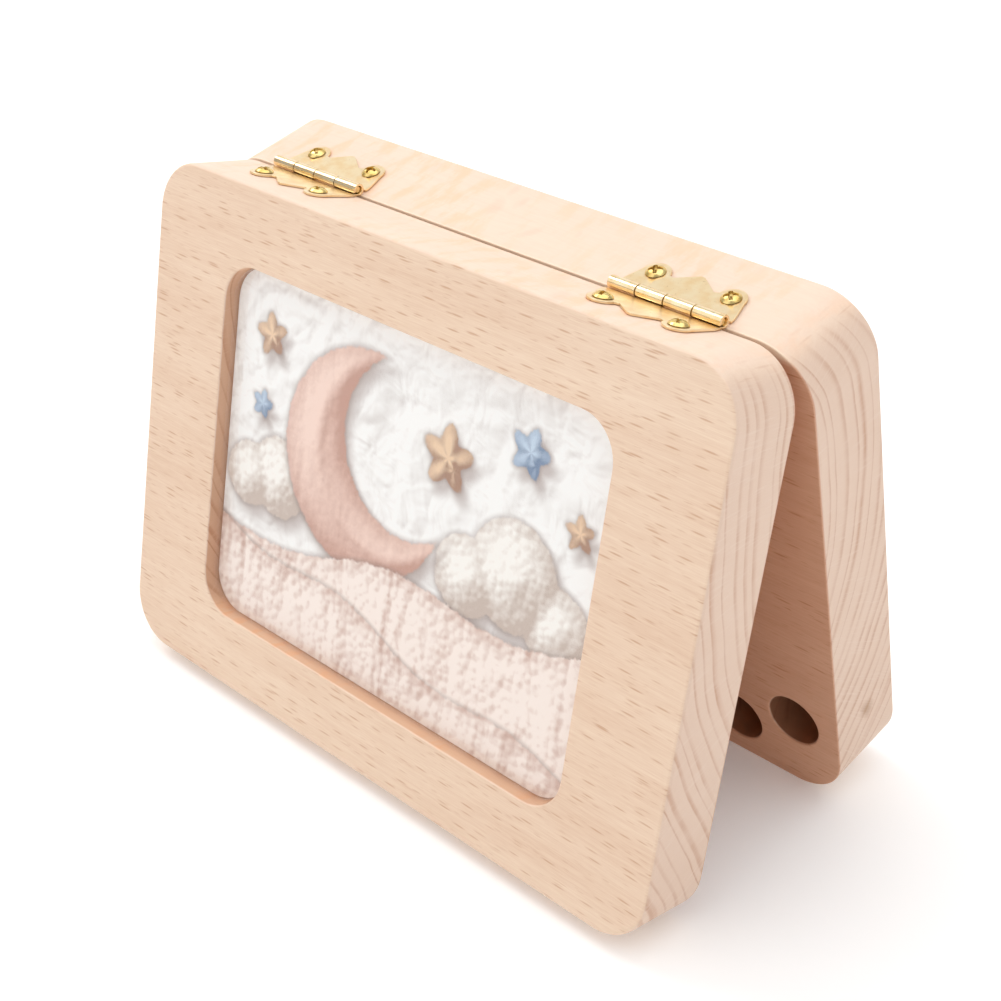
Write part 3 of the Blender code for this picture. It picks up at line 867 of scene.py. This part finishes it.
LEAF_BRASS = brass("leaf_brass", tone(248, 227, 188), tone(240, 209, 158), tone(164, 122, 68),
                   gloss=0.2, knuckle_gloss=0.06)
PIN_BRASS = brass("pin_brass", tone(238, 216, 170), tone(220, 188, 124), tone(140, 104, 60),
                  gloss=0.2, knuckle_gloss=0.1)

for hinge in ("left", "right"):
    for half in SIDES:
        name = f"{hinge}_{half}_leaf"
        leaf = add_piece(name, leaf_mesh(name, half, hinge), half, LEAF_BRASS, "hinge_brass",
                         f"{hinge}_hinge_{half}_leaf")
        sheet = leaf.modifiers.new("sheet", "SOLIDIFY")
        sheet.thickness = SHEET
        sheet.offset = 0
        sheet.use_even_offset = True
        burr = leaf.modifiers.new("burr", "BEVEL")
        burr.width = BURR
        burr.segments = 2
        burr.limit_method = "ANGLE"
        burr.angle_limit = SHARP_ANGLE
        even_shading(leaf)
    pin = add_piece(f"{hinge}_pin", pin_mesh(f"{hinge}_pin", hinge), "back", PIN_BRASS,
                    "hinge_brass", f"{hinge}_hinge_pin")
    even_shading(pin)

# Screws: brass-plated wood screws, with a low domed head, a pressed cross recess, a countersunk
# neck that draws the leaf down, and a cut thread that runs out at the point.
HEAD_RADIUS = 0.00165
HEAD_DOME = 0.0007
HEAD_LIP = 0.00006
HEAD_STEPS = 30
NECK = 0.0005
SHANK_RADIUS = 0.0008
SHANK_LENGTH = 0.008
THREAD_ROOT = 0.00056
THREAD_PITCH = 0.0008
THREAD_START = 0.0012
THREAD_STEPS = 90
POINT_LENGTH = 0.0018
POINT_CURVE = 0.8
TURN_STEPS = 112
CROSS_REACH = 0.00115
CROSS_MIDDLE = 0.0004
CROSS_END = 0.00025
CROSS_DEPTH = 0.0008
CROSS_RISE = 0.55
CROSS_WALL = 0.00007
# How much dirt and painted shade darkens each ring of the head's lip, down to the shank.
LIP_DIRT_AND_SHADE = (0.1, 0.6, 1.0, 1.0, 1.0)
# How far the cross of each screw is turned, in degrees: front left and right, back left and right.
CROSS_TURNS = {"left": (24, -38, 52, 8), "right": (-16, 63, 35, -52)}


def cross_recess(side, reach):
    """The driver's recess as a share of its full depth: shallower towards its arms' ends."""
    depth = np.zeros(side.shape)
    for along, across in ((np.abs(side), np.abs(reach)), (np.abs(reach), np.abs(side))):
        width = CROSS_MIDDLE + (CROSS_END - CROSS_MIDDLE) * along / CROSS_REACH
        inside = np.minimum(width - across, CROSS_REACH - along) / CROSS_WALL
        depth = np.maximum(depth, np.clip(inside, 0, 1) * (1 - CROSS_RISE * along / CROSS_REACH))
    return depth


def screw_mesh(name, half, node, turn):
    """A screw as one grid, angle by profile: a dome less its recess, a lip, a neck and a thread.

    The dome falls as the cube of the radius. The thread's radius rises and falls with
    (height / pitch - angle / full turn), and both it and the core shrink to the point.
    """
    low, high = own_box(node, half)
    middle, seat = (low + high) / 2, low[2] + NECK + SHANK_LENGTH
    angle = np.radians(np.linspace(0, 360, TURN_STEPS, endpoint=False))
    around = np.ones(TURN_STEPS)
    spread = np.linspace(0, 1, HEAD_STEPS)[:, None] * (HEAD_RADIUS - HEAD_LIP) * around
    side, reach = spread * np.cos(angle - turn), spread * np.sin(angle - turn)
    recess = cross_recess(side, reach)
    dome = HEAD_DOME * (1 - (spread / HEAD_RADIUS) ** 3) - CROSS_DEPTH * recess

    depth = np.linspace(THREAD_START, SHANK_LENGTH, THREAD_STEPS)[:, None]
    phase = (depth / THREAD_PITCH - angle / (2 * math.pi)) % 1
    run_in = np.clip((depth - THREAD_START) / THREAD_PITCH, 0, 1)
    crest = np.clip(1 - np.abs(phase - 0.5) * 4, 0, 1) * run_in
    core = np.clip((SHANK_LENGTH - depth) / POINT_LENGTH, 0, 1)
    thread = (THREAD_ROOT + (SHANK_RADIUS - THREAD_ROOT) * crest) * core ** POINT_CURVE

    lip = np.array([(HEAD_RADIUS - HEAD_LIP * 0.3, HEAD_LIP * 0.5), (HEAD_RADIUS, -HEAD_LIP * 0.3),
                    (HEAD_RADIUS - HEAD_LIP, -HEAD_LIP * 1.5), (SHANK_RADIUS, -NECK),
                    (SHANK_RADIUS, -NECK - THREAD_START * 0.8)])
    radius = np.concatenate([spread, lip[:, :1] * around, thread])
    height = np.concatenate([dome, lip[:, 1:] * around, -NECK - depth * around])
    rows = np.stack([middle[0] + radius * np.cos(angle), middle[1] + radius * np.sin(angle),
                     seat + height], axis=-1)
    # The cross recess and the lip carry dirt and painted shade; the thread carries none.
    grime = np.concatenate([recess, np.outer(LIP_DIRT_AND_SHADE, around), np.zeros(thread.shape)])
    return joined_mesh(name, half, [ring_grid(rows)], grime)


SCREW_BRASS = brass("screw_brass", tone(246, 220, 152), tone(218, 180, 100), tone(112, 80, 30),
                    gloss=0.14, knuckle_gloss=0.14)

for hinge, turns in CROSS_TURNS.items():
    places = [(half, end) for half in SIDES for end in ("left", "right")]
    for (half, end), turn in zip(places, turns):
        name = f"{hinge}_{half}_{end}_screw"
        node = f"{hinge}_hinge_{half}_{end}_screw"
        add_piece(name, screw_mesh(name, half, node, math.radians(turn)), half,
                  SCREW_BRASS, "screw_brass", node)

# Studio: a white floor that glows towards the horizon, softboxes, a room that is bright behind
# the box, and the camera where the photograph was taken from.
FLOOR_SIZE = 14.0
FLOOR_DROP = 0.00002
FLOOR_GLOW_NEAR = (0.1, 0.1, 0.1, 1.0)
FLOOR_GLOW_FAR = (0.7, 0.7, 0.7, 1.0)
BACKDROP = (-0.68, 0.73, 0.0)
BACKDROP_LIGHT = 1.12
ROOM_LIGHT = 0.45
# Each softbox's place, what it points at, its size in metres and its power in watts.
SOFTBOXES = {
    "overhead": ((0.3, 0.2, 2.0), (0, 0, 0.05), 2.4, 24.0),
    "front": ((-0.35, -0.9, 0.85), (0, 0, 0.05), 1.1, 3.0),
    "side": ((1.05, 0.5, 0.45), (0, 0, 0.05), 0.9, 1.0),
    "rim": ((-1.0, -0.1, 1.2), (0, 0, 0.09), 0.65, 5.0),
}
CAMERA_PLACE = (0.18969, -0.18643, 0.20181)
CAMERA_TURN = (59.0962, 1.1319, 44.4159)
CAMERA_LENS = 63.415
CAMERA_NEAR = 0.01

floor_mesh = bpy.data.meshes.new("white_sweep")
floor_corners = np.array([(-1, -1), (1, -1), (1, 1), (-1, 1)]) * FLOOR_SIZE / 2
floor_mesh.from_pydata(np.insert(floor_corners, 2, -FLOOR_DROP, axis=1).tolist(), [],
                       [(0, 1, 2, 3)])
floor = in_scene("white_sweep", floor_mesh)
finish, shader, paint = new_finish("white_sweep")
away = paint.add("TexCoord", output="Object")
away = away.add("VectorMath", {0: away}, output="Value", operation="LENGTH").step(0.5, 2.5)
dress(shader, paint, Base_Color=tone(252, 252, 252), Roughness=0.9,
      Emission_Color=away.mix(FLOOR_GLOW_NEAR, FLOOR_GLOW_FAR), Emission_Strength=1.0)
floor_mesh.materials.append(finish)

for name, (place, target, size, power) in SOFTBOXES.items():
    light = bpy.data.lights.new(name, "AREA")
    light.size = size
    light.energy = power
    softbox = in_scene(name, light)
    softbox.location = place
    softbox.rotation_euler = (Vector(target) - Vector(place)).to_track_quat("-Z", "Y").to_euler()

# To the camera the room itself is white, so that the box stands on white from every side.
world = bpy.data.worlds.new("studio")
world.use_nodes = True
sky = Paint(world.node_tree).add("TexCoord", output="Generated")
behind = sky.add("VectorMath", {0: sky, 1: BACKDROP}, output="Value", operation="DOT_PRODUCT")
glow = behind.step(0.4, 1.0) * (BACKDROP_LIGHT - ROOM_LIGHT) + ROOM_LIGHT
seen = sky.add("LightPath", output="Is Camera Ray")
dress(world.node_tree.nodes["Background"], sky, Color=(1, 1, 1, 1),
      Strength=glow.math("MAXIMUM", glow, seen))
bpy.context.scene.world = world

lens = bpy.data.cameras.new("camera")
lens.lens = CAMERA_LENS
lens.clip_start = CAMERA_NEAR
camera = in_scene("camera", lens)
camera.location = CAMERA_PLACE
camera.rotation_euler = [math.radians(angle) for angle in CAMERA_TURN]
bpy.context.scene.camera = camera
bpy.context.scene.view_settings.view_transform = "Standard"
